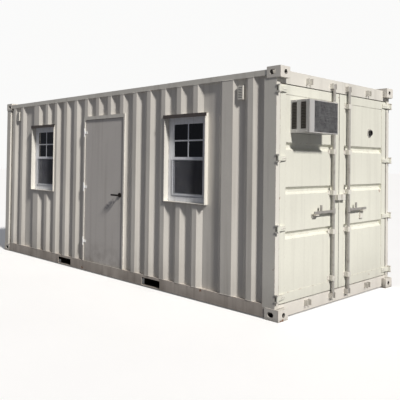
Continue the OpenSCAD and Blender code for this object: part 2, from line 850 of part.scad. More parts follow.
bottom_castings();
top_castings();
door_end_posts();
blind_end_posts();
bottom_side_rails();
top_side_rails();
door_header();
door_sill();
blind_end_rails();
fork_pockets();
cross_members();
floor();
roof();
front_wall_left();
front_wall_over_door();
front_wall_right();
back_wall();
blind_end_wall();
ventilators();
entry_frame();
entry_door();
entry_hinges();
entry_hinge_wings();
entry_lever();
window_boxes();
window_frames();
window_sashes();
window_glass();
cargo_frame_left();
cargo_panel_left();
cargo_frame_right();
cargo_panel_right();
cargo_hinge_lugs();
cargo_hinges_left();
cargo_hinges_right();
lock_rod_left();
lock_rod_right();
lock_brackets_left();
lock_brackets_right();
lock_keepers();
cable_fitting();
ac_casing();
ac_coil();
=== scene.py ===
# %% [markdown]
# # A cabin made from a steel shipping container
# The frame comes from the CAD model: every post, wall, door and rod is already in its true
# place and size, in metres, with X along the cabin and Z up. This lesson gives those parts
# their real finishes, adds the small things that CAD leaves out, and lights the result.

import math
import random

import bmesh
import bpy
from mathutils import Matrix, Vector


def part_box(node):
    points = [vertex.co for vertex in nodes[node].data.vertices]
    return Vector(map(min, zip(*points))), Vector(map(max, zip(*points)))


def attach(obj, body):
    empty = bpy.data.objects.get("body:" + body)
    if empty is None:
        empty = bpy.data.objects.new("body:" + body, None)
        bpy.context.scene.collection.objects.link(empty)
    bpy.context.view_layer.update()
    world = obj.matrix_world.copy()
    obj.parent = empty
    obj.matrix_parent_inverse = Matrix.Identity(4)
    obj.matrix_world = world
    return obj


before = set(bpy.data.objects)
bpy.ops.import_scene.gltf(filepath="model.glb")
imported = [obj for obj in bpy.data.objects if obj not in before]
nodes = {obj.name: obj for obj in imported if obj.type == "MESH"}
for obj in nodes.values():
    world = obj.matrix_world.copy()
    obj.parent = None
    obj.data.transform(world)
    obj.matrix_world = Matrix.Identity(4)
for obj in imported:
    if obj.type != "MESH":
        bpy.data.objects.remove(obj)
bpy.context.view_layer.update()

# %% [markdown]
# ## Seeing the cabin
# The camera stands five and a half metres off the corner between the window side and the
# cargo doors, at eye height. Euler angles would do, but a matrix built from the camera's
# own three axes shows where each one points, and takes the slight lean that a camera held
# by hand has. The lens points almost level, which keeps upright edges upright, and a lens
# shift brings the cabin to the middle of the picture.

# %% Camera
LENS_ACROSS = 1.37375  # focal length as a share of the picture's width
eye = Vector((6.385, -5.674, 1.595))
yaw, pitch, roll = math.radians(45.26), math.radians(1.01), math.radians(0.73)
ahead = Vector((-math.sin(yaw) * math.cos(pitch), math.cos(yaw) * math.cos(pitch),
                math.sin(pitch)))
level = Vector((math.cos(yaw), math.sin(yaw), 0))
above = level.cross(ahead)
right = math.cos(roll) * level + math.sin(roll) * above
up = math.cos(roll) * above - math.sin(roll) * level

camera = bpy.data.objects.new("camera", bpy.data.cameras.new("camera"))
bpy.context.scene.collection.objects.link(camera)
turn = Matrix((right, up, -ahead)).transposed().to_4x4()
turn.translation = eye
camera.matrix_world = turn
camera.data.sensor_width = 36
camera.data.sensor_fit = "HORIZONTAL"
camera.data.lens = 36 * LENS_ACROSS
camera.data.shift_y = -0.118
camera.data.clip_end = 300
bpy.context.scene.camera = camera
print("camera", [round(v, 2) for v in eye], "lens", round(camera.data.lens, 1), "mm")

# %% [markdown]
# ## Light and sky
# The sun stands forty degrees up, almost straight off the cargo doors and a little round to
# the window side. It makes the door end bright, only grazes the flats of the window side
# and picks out one slope of every rib, which is what makes ribs readable. A wide sun, like
# one behind thin haze, keeps the edges of long shadows soft. The sky is slightly blue and
# fills the shade. A world shader can show the camera a paler sky than the one that lights
# the scene, so the backdrop stays plain without washing the shade out.

# %% Sun and sky
SUN_WAY = Vector((-1.0, 0.225, -0.85))
sun = bpy.data.objects.new("sun", bpy.data.lights.new("sun", "SUN"))
sun.data.energy = 3.75
sun.data.angle = math.radians(6)
sun.data.color = (1.0, 0.97, 0.93)
sun.rotation_mode = "QUATERNION"
sun.rotation_quaternion = SUN_WAY.to_track_quat("-Z", "Y")
bpy.context.scene.collection.objects.link(sun)

world = bpy.data.worlds.new("studio")
world.use_nodes = True
bpy.context.scene.world = world
sky = world.node_tree
backdrop = sky.nodes["Background"]
backdrop.inputs["Color"].default_value = (0.96, 0.96, 0.955, 1)
fill = sky.nodes.new("ShaderNodeBackground")
fill.inputs["Color"].default_value = (0.135, 0.142, 0.163, 1)
seen = sky.nodes.new("ShaderNodeLightPath")
either = sky.nodes.new("ShaderNodeMixShader")
sky.links.new(seen.outputs["Is Camera Ray"], either.inputs["Fac"])
sky.links.new(fill.outputs[0], either.inputs[1])
sky.links.new(backdrop.outputs[0], either.inputs[2])
sky.links.new(either.outputs[0], sky.nodes["World Output"].inputs["Surface"])
bpy.context.scene.view_settings.view_transform = "Standard"
print("sun falls at", round(math.degrees(math.asin(-SUN_WAY.normalized().z)), 1), "degrees")

# %% [markdown]
# ## A way to write finishes
# Every finish here is one Principled shader with patterns fed into it. Wiring each by hand
# would fill pages, and an image per part would have a fixed sharpness. The patterns read
# object coordinates, which in this frame are simply metres, so a streak 0.4 m long is
# written as such and matches from one part to the next. A small class keeps the wiring
# short: each method adds one node and hands back the socket that carries its result.

# %% The finish writer
class Finish:
    def __init__(self, name, **sockets):
        self.mat = bpy.data.materials.new(name)
        self.mat.use_nodes = True
        self.tree = self.mat.node_tree
        self.shader = self.tree.nodes["Principled BSDF"]
        self.place = self.tree.nodes.new("ShaderNodeTexCoord").outputs["Object"]
        for key, value in sockets.items():
            self.shader.inputs[key.replace("_", " ")].default_value = value

    def node(self, kind, links=(), **values):
        made = self.tree.nodes.new("ShaderNode" + kind)
        for key, value in values.items():
            setattr(made, key, value)
        for socket, source in links:
            if hasattr(source, "is_output"):
                self.tree.links.new(source, made.inputs[socket])
            else:
                made.inputs[socket].default_value = source
        return made

    def noise(self, scale, detail=4.0, stretch=(1, 1, 1)):
        at = self.node("Mapping", [("Vector", self.place), ("Scale", stretch)]).outputs[0]
        return self.node("TexNoise", [("Vector", at), ("Scale", scale),
                                      ("Detail", detail)]).outputs["Fac"]

    def band(self, value, start, end, low=0.0, high=1.0):
        return self.node("MapRange", [("Value", value), ("From Min", start),
                                      ("From Max", end), ("To Min", low),
                                      ("To Max", high)]).outputs["Result"]

    def sums(self, how, a, b):
        return self.node("Math", [(0, a), (1, b)], operation=how).outputs[0]

    def mix(self, share, a, b, how="MIX"):
        made = self.node("Mix", [(0, share)], data_type="RGBA", blend_type=how)
        for slot, source in ((6, a), (7, b)):
            if hasattr(source, "is_output"):
                self.tree.links.new(source, made.inputs[slot])
            else:
                made.inputs[slot].default_value = (*source, 1)
        return made.outputs[2]

    def along(self, axis):
        return self.node("SeparateXYZ", [("Vector", self.place)]).outputs[axis]

    def worn_edge(self, radius):
        """1 on a sharp edge and 0 on a flat, read from how far a rounded normal leans."""
        soft = self.node("Bevel", [("Radius", radius)], samples=4).outputs[0]
        flat = self.node("NewGeometry").outputs["Normal"]
        lean = self.node("VectorMath", [(0, soft), (1, flat)],
                         operation="DOT_PRODUCT").outputs["Value"]
        return self.band(lean, 0.985, 0.75)

    def bump(self, height, depth, strength=1.0, soft=0.0):
        links = [("Height", height), ("Distance", depth), ("Strength", strength)]
        if soft:
            links.append(("Normal", self.node("Bevel", [("Radius", soft)],
                                              samples=4).outputs[0]))
        self.set("Normal", self.node("Bump", links).outputs[0])

    def set(self, socket, source):
        self.tree.links.new(source, self.shader.inputs[socket])


def tint(colour, by):
    return tuple(min(1.0, c * by) for c in colour)


def wear(name, finish):
    """Gives a CAD node its finish."""
    for slot in nodes[name].material_slots:
        slot.material = finish.mat


# %% [markdown]
# ## Container paint
# The shell is sprayed with a cream chassis paint. New paint is dull and even, but rain
# draws dirt down it in streaks, splashes darken the lowest half metre, chips let rust out
# and the sun fades it in wide patches. Each of those is one noise pattern at its own
# scale, laid over the last, so that one function serves every painted part and only the
# amounts differ.

# %% Painted steel
CREAM = (0.79, 0.755, 0.69)
# This dark colour serves dirt, and a near-black tint of it is painted shade in hollows.
DIRT_AND_SHADE = (0.19, 0.155, 0.125)
RUST = (0.145, 0.058, 0.024)


def painted(name, colour=CREAM, dirt=0.3, splash=0.5, splash_to=0.75, rust=0.3, edges=0.0,
            dents=0.0, rough=0.5, hollow_shade=0.0):
    f = Finish(name, Specular_IOR_Level=0.4)
    faded = f.mix(f.band(f.noise(0.8, 3), 0.35, 0.65), tint(colour, 0.94), tint(colour, 1.03))
    mottled = f.mix(f.band(f.noise(38, 5), 0.4, 0.75, 0, 0.16), faded, tint(colour, 0.8))
    run = f.noise(1.0, 6, (13, 13, 0.55))
    streaks = f.band(run, 0.5, 0.74, 0, dirt)
    streaked = f.mix(streaks, mottled, DIRT_AND_SHADE)
    low = f.band(f.along("Z"), splash_to, 0.05, 0, 1)
    splashed = f.sums("MULTIPLY", f.sums("POWER", low, 2.2),
                      f.band(f.noise(5, 6, (1, 1, 0.6)), 0.3, 0.75, 0.25 * splash, splash))
    muddy = f.mix(splashed, streaked, DIRT_AND_SHADE)
    spots = f.band(f.noise(6.5, 10), 0.75 - 0.09 * rust, 0.775 - 0.08 * rust, 0, 0.95)
    if edges:
        chips = f.sums("MULTIPLY", f.worn_edge(0.005),
                       f.band(f.noise(22, 6), 0.56 - 0.1 * edges, 0.6, 0, 1))
        spots = f.sums("MAXIMUM", spots, chips)
    stain = f.mix(f.noise(55, 5), RUST, tint(RUST, 2.4))
    wear_and_shade = f.mix(spots, muddy, stain)
    # An AO mask paints shade here: deep hollows, such as the holes in the castings, are
    # darkened to near black.
    if hollow_shade:
        open_to = f.node("AmbientOcclusion", [("Distance", hollow_shade)], samples=6).outputs["AO"]
        wear_and_shade = f.mix(f.band(open_to, 0.62, 0.3), wear_and_shade, tint(DIRT_AND_SHADE, 0.12))
    f.set("Base Color", wear_and_shade)
    dull = f.sums("ADD", f.band(f.noise(9, 4), 0.3, 0.7, rough - 0.06, rough + 0.08),
                  f.sums("MULTIPLY", spots, 0.3))
    f.set("Roughness", dull)
    skin = f.sums("MULTIPLY", f.noise(260, 2), 0.12)
    height = f.sums("ADD", skin, f.sums("MULTIPLY", spots, -0.6))
    if dents:
        height = f.sums("ADD", height, f.sums("MULTIPLY", f.noise(2.1, 2, (1, 1, 0.7)),
                                              dents))
    f.bump(height, 0.0012, 0.9, 0.0025 if edges else 0.0)
    return f


sheet_paint = painted("sheet_paint", dirt=0.24, rust=0.1, dents=7.0)
frame_paint = painted("frame_paint", colour=(0.775, 0.75, 0.685), dirt=0.2, rust=0.3,
                      edges=0.55)
door_paint = painted("door_paint", colour=(0.80, 0.795, 0.70), dirt=0.12, rust=0.1,
                     splash=0.35, edges=0.3, dents=4.0)
# The castings get painted shade in their holes.
casting_paint = painted("casting_paint", dirt=0.16, splash=0.2, rust=0.6, edges=0.8,
                        rough=0.6, hollow_shade=0.1)
rail_paint = painted("rail_paint", colour=(0.66, 0.60, 0.535), dirt=0.45, splash=0.7,
                     splash_to=0.5, rust=0.8, edges=0.8, rough=0.62)
roof_paint = painted("roof_paint", colour=(0.70, 0.665, 0.60), dirt=0.35, splash=0.0,
                     rust=0.9, dents=9.0, rough=0.6)
for part in ("front_wall_left", "front_wall_over_door", "front_wall_right", "back_wall",
             "blind_end_wall"):
    wear(part, sheet_paint)
for part in ("door_end_posts", "blind_end_posts", "top_side_rails", "door_header",
             "entry_frame", "window_boxes", "ventilators", "blind_end_rails",
             "cargo_hinge_lugs"):
    wear(part, frame_paint)
for part in ("cargo_frame_left", "cargo_panel_left", "cargo_frame_right",
             "cargo_panel_right", "cargo_hinges_left", "cargo_hinges_right"):
    wear(part, door_paint)
wear("bottom_castings", casting_paint)
wear("top_castings", casting_paint)
wear("bottom_side_rails", rail_paint)
wear("door_sill", painted("sill_paint", dirt=0.1, splash=0.16, splash_to=0.35, rust=0.6,
                          edges=0.8))
wear("roof", roof_paint)
print("painted", sum(1 for n in nodes.values() if n.material_slots[0].material.use_nodes))

# %% [markdown]
# ## The underside
# Cross members and fork pockets are brushed with black-brown wax against rust and never
# washed. The shell's paint in a darker colour would look too clean, so this is a finish of
# its own: a dark, rough coat with rusty patches and dry mud. From the front it only shows
# as the black inside of the two fork pockets, where the near-black tone is also painted
# shade for the dark inside the tunnels, but a lifted cabin is seen from below.

# %% Waxed steel under the floor
wax_and_pocket_shade = Finish("underbody_wax_and_pocket_shade", Specular_IOR_Level=0.3)
# This near-black tone is also painted shade for the dark inside the fork pockets.
coat = wax_and_pocket_shade.mix(wax_and_pocket_shade.band(wax_and_pocket_shade.noise(4, 8), 0.45, 0.62), (0.022, 0.019, 0.017),
               (0.075, 0.045, 0.028))
wax_and_pocket_shade.set("Base Color", wax_and_pocket_shade.mix(wax_and_pocket_shade.band(wax_and_pocket_shade.noise(17, 6), 0.55, 0.72, 0, 0.8), coat,
                              (0.15, 0.12, 0.095)))
wax_and_pocket_shade.set("Roughness", wax_and_pocket_shade.band(wax_and_pocket_shade.noise(12, 4), 0.3, 0.7, 0.55, 0.9))
wax_and_pocket_shade.bump(wax_and_pocket_shade.noise(70, 5), 0.0015, 0.8)
waxed_and_shaded = ("cross_members", "fork_pockets")
for part in waxed_and_shaded:
    wear(part, wax_and_pocket_shade)
print("waxed:", *waxed_and_shaded)

# %% [markdown]
# ## The floor inside
# A container floor is thick marine plywood in boards, oiled dark and scuffed. Separate
# boards could be modelled, but they lie flush and only their joints show, so they come
# from a brick pattern in plan: one texture gives both the joints and a slightly different
# tone for each board, and a noise stretched along the boards draws the grain.

# %% Plywood
ply = Finish("plywood")
board = ply.node("TexBrick", [("Vector", ply.place), ("Color1", (0.23, 0.135, 0.072, 1)),
                              ("Color2", (0.30, 0.185, 0.105, 1)),
                              ("Mortar", (0.025, 0.016, 0.01, 1)), ("Scale", 1.0),
                              ("Mortar Size", 0.0025), ("Brick Width", 1.2),
                              ("Row Height", 0.6), ("Bias", 0.0)])
grain = ply.band(ply.noise(1.0, 7, (4, 90, 90)), 0.35, 0.7, 0.0, 0.55)
scuffed = ply.mix(grain, board.outputs["Color"], (0.12, 0.066, 0.034))
dusty = ply.band(ply.noise(2.6, 6), 0.5, 0.75, 0, 0.5)
ply.set("Base Color", ply.mix(dusty, scuffed, (0.34, 0.29, 0.23)))
ply.set("Roughness", ply.band(dusty, 0, 0.5, 0.45, 0.8))
ply.bump(ply.sums("SUBTRACT", ply.sums("MULTIPLY", grain, 0.4), board.outputs["Fac"]), 0.001)
wear("floor", ply)

# %% [markdown]
# ## The entry door
# The leaf is a flush steel door, smoother than the ribbed wall and a shade greyer. A dark
# mark slants down from the lever. It could be left to chance like the dirt, but a mark this
# particular is better placed: its mask is the distance to a slanting line, broken up with
# noise.

# %% Door leaf, hinges and lever
leaf_low, leaf_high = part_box("entry_door")
lever_low, lever_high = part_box("entry_lever")
lever_z = (lever_low.z + lever_high.z) / 2

leaf = Finish("entry_leaf_paint", Specular_IOR_Level=0.4)
TAUPE = (0.70, 0.665, 0.625)
clouds = leaf.mix(leaf.band(leaf.noise(1.7, 4), 0.35, 0.7), tint(TAUPE, 0.95), TAUPE)
speckled = leaf.mix(leaf.band(leaf.noise(30, 5), 0.5, 0.8, 0, 0.2), clouds, tint(TAUPE, 0.7))
runs = leaf.band(leaf.noise(1.0, 6, (16, 16, 0.6)), 0.52, 0.78, 0, 0.22)
washed = leaf.mix(runs, speckled, DIRT_AND_SHADE)
feet = leaf.sums("MULTIPLY", leaf.band(leaf.along("Z"), leaf_low.z + 0.35, leaf_low.z, 0, 1),
                 leaf.band(leaf.noise(9, 6), 0.35, 0.7, 0.05, 0.5))
kicked = leaf.mix(feet, washed, DIRT_AND_SHADE)
slope_x = leaf.sums("SUBTRACT", leaf.along("X"), lever_low.x - 0.03)
slope_z = leaf.sums("SUBTRACT", leaf.along("Z"), lever_z - 0.09)
across = leaf.sums("ABSOLUTE", leaf.sums("SUBTRACT", leaf.sums("MULTIPLY", slope_z, 0.86),
                                         leaf.sums("MULTIPLY", slope_x, 0.5)), 0.0)
down = leaf.sums("ADD", leaf.sums("MULTIPLY", slope_x, 0.86),
                 leaf.sums("MULTIPLY", slope_z, 0.5))
reach = leaf.sums("MULTIPLY", leaf.band(across, 0.045, 0.008),
                  leaf.sums("MULTIPLY", leaf.band(down, -0.26, -0.16),
                            leaf.band(down, 0.06, 0.0)))
dark_slant_mask = leaf.sums("MULTIPLY", reach, leaf.band(leaf.noise(26, 6), 0.42, 0.6, 0.15, 0.8))
leaf.set("Base Color", leaf.mix(dark_slant_mask, kicked, (0.10, 0.10, 0.125)))
leaf.set("Roughness", leaf.band(leaf.noise(7, 4), 0.3, 0.7, 0.36, 0.5))
leaf.bump(leaf.sums("ADD", leaf.sums("MULTIPLY", leaf.noise(300, 2), 0.1),
                    leaf.sums("MULTIPLY", leaf.noise(1.6, 1), 4.0)), 0.0011, 0.8, 0.002)
wear("entry_door", leaf)


def plated(name, colour, metal, rough, grime=0.4):
    f = Finish(name, Metallic=metal)
    cloudy = f.mix(f.band(f.noise(90, 5), 0.3, 0.75), tint(colour, 0.78), tint(colour, 1.08))
    dark = f.band(f.noise(16, 6), 0.52, 0.75, 0, grime)
    f.set("Base Color", f.mix(dark, cloudy, tint(DIRT_AND_SHADE, 0.8)))
    f.set("Roughness", f.sums("ADD", f.band(f.noise(60, 4), 0.3, 0.7, rough - 0.07,
                                            rough + 0.09), f.sums("MULTIPLY", dark, 0.5)))
    f.bump(f.noise(420, 3), 0.0003, 0.5, 0.001)
    return f


zinc = plated("zinc_plate", (0.90, 0.90, 0.89), 0.15, 0.36, 0.15)
bronze = plated("dark_bronze", (0.055, 0.046, 0.042), 0.8, 0.34, 0.3)
galvanised = plated("galvanised_steel", (0.50, 0.48, 0.45), 0.35, 0.5, 0.5)
wear("entry_hinges", zinc)
wear("entry_hinge_wings", zinc)
wear("entry_lever", bronze)
wear("lock_rod_left", galvanised)
wear("lock_rod_right", galvanised)
wear("lock_brackets_left", frame_paint)
wear("lock_brackets_right", frame_paint)
wear("lock_keepers", frame_paint)
print("entry leaf", [round(v, 3) for v in leaf_high - leaf_low], "lever at", round(lever_z, 3))

# %% [markdown]
# ## Windows
# The windows are vertical sliders in frames of white plastic. Their colour is tinted blue, a
# painted reflection of the sky on the frames in the shade. Plastic hardly wears, so it only
# gets rain marks and a soft sheen. A dark mirror could stand for the panes, but it would hide
# the glazing bars that lie behind the lower ones. A tinted Principled shader with full
# transmission shows the bars and the dark room, and still mirrors the sky.

# %% Plastic frames and glass
plastic = Finish("window_plastic", Specular_IOR_Level=0.5)
# This white is tinted blue as a painted reflection of the sky on the frames in the shade.
SKY_TINTED_WHITE = (0.85, 0.865, 0.905)
rain = plastic.band(plastic.noise(1.0, 5, (26, 26, 1.4)), 0.5, 0.8, 0, 0.28)
chalk_and_sky_tint = plastic.mix(plastic.band(plastic.noise(14, 4), 0.35, 0.7), tint(SKY_TINTED_WHITE, 0.93), SKY_TINTED_WHITE)
plastic.set("Base Color", plastic.mix(rain, chalk_and_sky_tint, (0.33, 0.31, 0.29)))
plastic.set("Roughness", plastic.band(plastic.noise(22, 3), 0.3, 0.7, 0.28, 0.42))
plastic.bump(plastic.noise(180, 2), 0.0002, 0.5, 0.0015)
wear("window_frames", plastic)
wear("window_sashes", plastic)

glass = Finish("tinted_glass", Roughness=0.03, IOR=1.45, Transmission_Weight=1.0,
               Specular_IOR_Level=0.5)
film = glass.band(glass.noise(3, 5, (1, 1, 0.5)), 0.35, 0.75)
glass.set("Base Color", glass.mix(film, (0.12, 0.13, 0.175), (0.16, 0.17, 0.21)))
glass.bump(glass.noise(2.0, 1), 0.002, 0.25)
wear("window_glass", glass)
print("window finishes:", plastic.mat.name, "and", glass.mat.name)

# %% [markdown]
# ## The air conditioner's case
# The case is thin sheet, powder coated grey, and the coil behind it is a block of aluminium
# fins that reads dark grey because light gets lost between them. The case takes the paint
# written above with its own colour. The coil's block gets a plain dark metal, since real
# fins, made further down, stand in front of it and do the rest.

# %% Case and coil
case = painted("case_coat", colour=(0.52, 0.515, 0.505), dirt=0.4, splash=0.0, rust=0.25,
               edges=0.35, rough=0.42)
wear("ac_casing", case)
coil_dark = Finish("coil_block", Metallic=0.4)
coil_dark.set("Base Color", coil_dark.mix(coil_dark.band(coil_dark.noise(24, 6), 0.4, 0.7),
                                          (0.045, 0.047, 0.055), (0.10, 0.10, 0.11)))
coil_dark.set("Roughness", coil_dark.band(coil_dark.noise(40, 3), 0.3, 0.7, 0.5, 0.75))
coil_dark.bump(coil_dark.noise(300, 2), 0.0006, 0.6)
wear("ac_coil", coil_dark)
print("nodes still plain:", [n for n, o in nodes.items() if not any(
    k.type == "TEX_NOISE" for k in o.material_slots[0].material.node_tree.nodes)])

# %% [markdown]
# ## Tools for the small pieces
# A node can hold several separate solids, such as both windows' frames. Typing each one's
# place again would break as soon as a size changed, so a helper finds the box of each
# solid by joining corners that share a face, and every small piece is placed from those.

# %% Boxes of the separate solids in a node
def solids(name):
    mesh = nodes[name].data
    spots = [tuple(round(c, 5) for c in v.co) for v in mesh.vertices]
    root = {spot: spot for spot in spots}

    def top(spot):
        while root[spot] != spot:
            root[spot] = root[root[spot]]
            spot = root[spot]
        return spot

    for face in mesh.polygons:
        first = top(spots[face.vertices[0]])
        for i in face.vertices[1:]:
            root[top(spots[i])] = first
    groups = {}
    for spot in root:
        groups.setdefault(top(spot), []).append(spot)
    found = [(Vector(map(min, *g)), Vector(map(max, *g))) for g in groups.values()]
    return sorted(found, key=lambda b: (round(b[0].x, 3), round(b[0].y, 3), b[0].z))


print("panes:", len(solids("window_glass")), "sashes:", len(solids("window_sashes")))


# %% [markdown]
# ## A maker of small shapes
# The small pieces are all built from three moves: a block between two corners, a tube
# along a line of points, and a turned shape like a rivet's head. Blender's own primitives
# would give one object each. A maker gathers such shapes in one mesh, so that all rivets
# of a door leaf are one piece, and then sends it to ride on its body.

# %% The maker
class Maker:
    def __init__(self):
        self.bm = bmesh.new()

    def block(self, low, high, turn=None):
        """A box from low to high, turned by a rotation matrix about its middle."""
        low, high = Vector(low), Vector(high)
        about = (low + high) / 2
        made = []
        for i in range(8):
            p = Vector((high[k] if i >> k & 1 else low[k] for k in range(3)))
            made.append(self.bm.verts.new(about + turn @ (p - about) if turn else p))
        for quad in ((0, 2, 3, 1), (4, 5, 7, 6), (0, 1, 5, 4), (2, 6, 7, 3), (0, 4, 6, 2),
                     (1, 3, 7, 5)):
            self.bm.faces.new([made[i] for i in quad])

    def tube(self, path, radius, sides=8, closed=False, ends=True):
        """A round bar along path; radius is one number or a number for each point."""
        path = [Vector(p) for p in path]
        count = len(path)
        rings = []
        side = None
        for i, p in enumerate(path):
            ahead = path[(i + 1) % count] if closed or i < count - 1 else p
            behind = path[i - 1] if closed or i else p
            way = (ahead - behind).normalized()
            if side is None:
                side = way.cross(Vector((0.3, 0.5, 0.81))).normalized()
            side = (side - way * side.dot(way)).normalized()
            other = way.cross(side)
            r = radius[i] if hasattr(radius, "__len__") else radius
            rings.append([self.bm.verts.new(p + r * (math.cos(t) * side + math.sin(t) * other))
                          for t in (math.tau * k / sides for k in range(sides))])
        for i in range(count if closed else count - 1):
            one, two = rings[i], rings[(i + 1) % count]
            for k in range(sides):
                self.bm.faces.new((one[k], one[(k + 1) % sides], two[(k + 1) % sides], two[k]))
        if ends and not closed:
            self.bm.faces.new(reversed(rings[0]))
            self.bm.faces.new(rings[-1])

    def turned(self, at, way, profile, sides=12):
        """A turned shape: profile lists radius and height above at, along way."""
        at, way = Vector(at), Vector(way).normalized()
        side = way.cross(Vector((0.31, 0.53, 0.79))).normalized()
        other = way.cross(side)
        rings = []
        for r, h in profile:
            rings.append([self.bm.verts.new(at + way * h + r * (math.cos(t) * side
                                                                + math.sin(t) * other))
                          for t in (math.tau * k / sides for k in range(sides))])
        for one, two in zip(rings, rings[1:]):
            for k in range(sides):
                self.bm.faces.new((one[k], one[(k + 1) % sides], two[(k + 1) % sides], two[k]))
        self.bm.faces.new(reversed(rings[0]))
        self.bm.faces.new(rings[-1])

    def rivet(self, at, way, r=0.006):
        """A low dome, as a collared pin or a pan-head screw shows."""
        self.turned(at, way, [(r * 1.3, 0), (r * 1.25, r * 0.25), (r * 0.9, r * 0.62),
                              (r * 0.45, r * 0.8)], 10)

    def done(self, name, body, slot, finish, round_off=0.0, smooth=35):
        bmesh.ops.recalc_face_normals(self.bm, faces=self.bm.faces)
        mesh = bpy.data.meshes.new(name)
        self.bm.to_mesh(mesh)
        self.bm.free()
        mesh.materials.append(finish.mat)
        piece = bpy.data.objects.new(name, mesh)
        bpy.context.scene.collection.objects.link(piece)
        mesh.shade_smooth()
        mesh.set_sharp_from_angle(angle=math.radians(smooth))
        if round_off:
            soft = piece.modifiers.new("round_off", "BEVEL")
            soft.width = round_off
            soft.segments = 2
            soft.limit_method = "ANGLE"
            soft.harden_normals = True
        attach(piece, body)
        print(name, "faces", len(mesh.polygons))
        return piece


random.seed(7)

# %% [markdown]
# ## Welds
# The pressed walls are joined to the rails and posts by welds, which are the most telling
# small thing on a container: a bead of about 6 mm that follows the ribs along the bottom
# and top, with a ripple from the weaving of the torch. The path is read from the wall's
# own corners, so that the bead sits in the real joint. A plain smooth tube would look like
# a wire, so its radius wanders a little.

# %% Weld beads along the walls
WALL_BEAD = 0.0032
weld_metal = painted("painted_weld", dirt=0.35, splash=0.5, rust=1.1, rough=0.6)


def outline(name, high, along, across, outer):
    """The wall's outer line at its foot or head, from the corners of its mesh."""
    verts = [v.co for v in nodes[name].data.vertices]
    level = (max if high else min)(v.z for v in verts)
    line = {}
    for v in verts:
        if abs(v.z - level) < 1e-4:
            key = round(v[along], 3)
            if key not in line or (v[across] - line[key]) * outer > 0:
                line[key] = v[across]
    keys = sorted(line)
    far = max(line.values(), key=lambda y: y * outer)
    kept = [k for i, k in enumerate(keys)
            if i == 0 or k - keys[i - 1] > 0.004 or abs(line[k] - far) < 1e-4]
    return [(k, line[k]) for k in kept], level


def bead(maker, points, radius, step=0.02):
    """A rippled bead through points, with a new ring every step."""
    path = []
    for a, b in zip(points, points[1:]):
        a, b = Vector(a), Vector(b)
        parts = max(1, round((b - a).length / step))
        path += [a.lerp(b, i / parts) for i in range(parts)]
    path.append(Vector(points[-1]))
    maker.tube(path, [radius * random.uniform(0.82, 1.15) for _ in path], 6)


beads = Maker()
for wall, outer in (("front_wall_left", -1), ("front_wall_right", -1), ("back_wall", 1)):
    for high in (False, True):
        line, z = outline(wall, high, 0, 1, outer)
        bead(beads, [(x, y, z) for x, y in line], WALL_BEAD)
line, z = outline("front_wall_over_door", True, 0, 1, -1)
bead(beads, [(x, y, z) for x, y in line], WALL_BEAD)
for high in (False, True):
    line, z = outline("blind_end_wall", high, 1, 0, -1)
    bead(beads, [(x, y, z) for y, x in line], WALL_BEAD)
beads.done("wall_welds", "cabin", "back_wall", weld_metal)

upright = Maker()
wall_low, wall_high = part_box("back_wall")
for y in (wall_low.y + 0.003, -wall_low.y - 0.003):
    for x in (wall_low.x, wall_high.x):
        bead(upright, [(x, y, wall_low.z), (x, y, wall_high.z)], 0.003, 0.03)
for low, high in solids("window_boxes"):
    face = -wall_high.y - 0.001
    bead(upright, [(low.x, face, low.z), (low.x, face, high.z), (high.x, face, high.z),
                   (high.x, face, low.z), (low.x, face, low.z)], 0.003, 0.025)
for low, high in solids("top_castings") + solids("bottom_castings"):
    z = low.z if low.z > 1 else high.z
    y = low.y + 0.006 if low.y < 0 else high.y - 0.006
    bead(upright, [(low.x + 0.012, y, z), (high.x - 0.012, y, z)], 0.004, 0.012)
upright.done("frame_welds", "cabin", "door_end_posts", weld_metal)

# %% [markdown]
# ## Windows in detail
# Each sash is split by flat glazing bars, two panes wide and two high. They lie outside
# the upper panes and behind the lower ones, where the glass dims them. A fly screen
# covers the lower half: a thin frame with a cloth of 0.28 mm wires every 1.6 mm. The wires
# are real, because at this size they blur into the grey veil that a screen has, and a
# see-through pattern would not catch the light. Over each window a folded drip cap throws
# the rain off, and a bead of sealant closes the joint round the frame.

# %% Glazing bars, fly screens, sealant and drip caps
panes = solids("window_glass")
sash_front = min(b[0].y for b in solids("window_sashes"))
frame_front = min(b[0].y for b in solids("window_frames"))
BAR = 0.009  # half the width of a glazing bar
bars = Maker()
half_way = sum(p[0].z for p in panes) / len(panes)
for low, high in panes:
    mid = (low + high) / 2
    y = low.y - 0.0042 if low.z > half_way else high.y + 0.0004
    bars.block((mid.x - BAR, y + 0.0002, low.z), (mid.x + BAR, y + 0.004, high.z))
    bars.block((low.x, y, mid.z - BAR), (high.x, y + 0.0038, mid.z + BAR))
bars.done("glazing_bars", "cabin", "window_sashes", plastic, 0.0012)

lower = [b for b in panes if b[0].z < half_way]
RIM, WIRE, MESH = 0.015, 0.00014, 0.0016  # rim's face, wire's radius and spacing
rim, cloth = Maker(), Maker()
screen_y = sash_front - 0.006
for low, high in lower:
    x0, x1, z0, z1 = low.x - 0.026, high.x + 0.026, low.z - 0.024, high.z + 0.022
    for a, b in (((x0, z0), (x1, z0 + RIM)), ((x0, z1 - RIM), (x1, z1)),
                 ((x0, z0 + RIM), (x0 + RIM, z1 - RIM)),
                 ((x1 - RIM, z0 + RIM), (x1, z1 - RIM))):
        rim.block((a[0], screen_y - 0.004, a[1]), (b[0], screen_y + 0.004, b[1]))
    for i in range(int((x1 - x0 - 2 * RIM) / MESH)):
        x = x0 + RIM + (i + 0.5) * MESH
        cloth.tube([(x, screen_y, z0 + 0.014), (x, screen_y, z1 - 0.014)], WIRE, 3, ends=False)
    for i in range(int((z1 - z0 - 2 * RIM) / MESH)):
        z = z0 + RIM + (i + 0.5) * MESH
        cloth.tube([(x0 + 0.014, screen_y, z), (x1 - 0.014, screen_y, z)], WIRE, 3,
                   ends=False)
rim.done("screen_rims", "cabin", "window_sashes", plastic, 0.001)
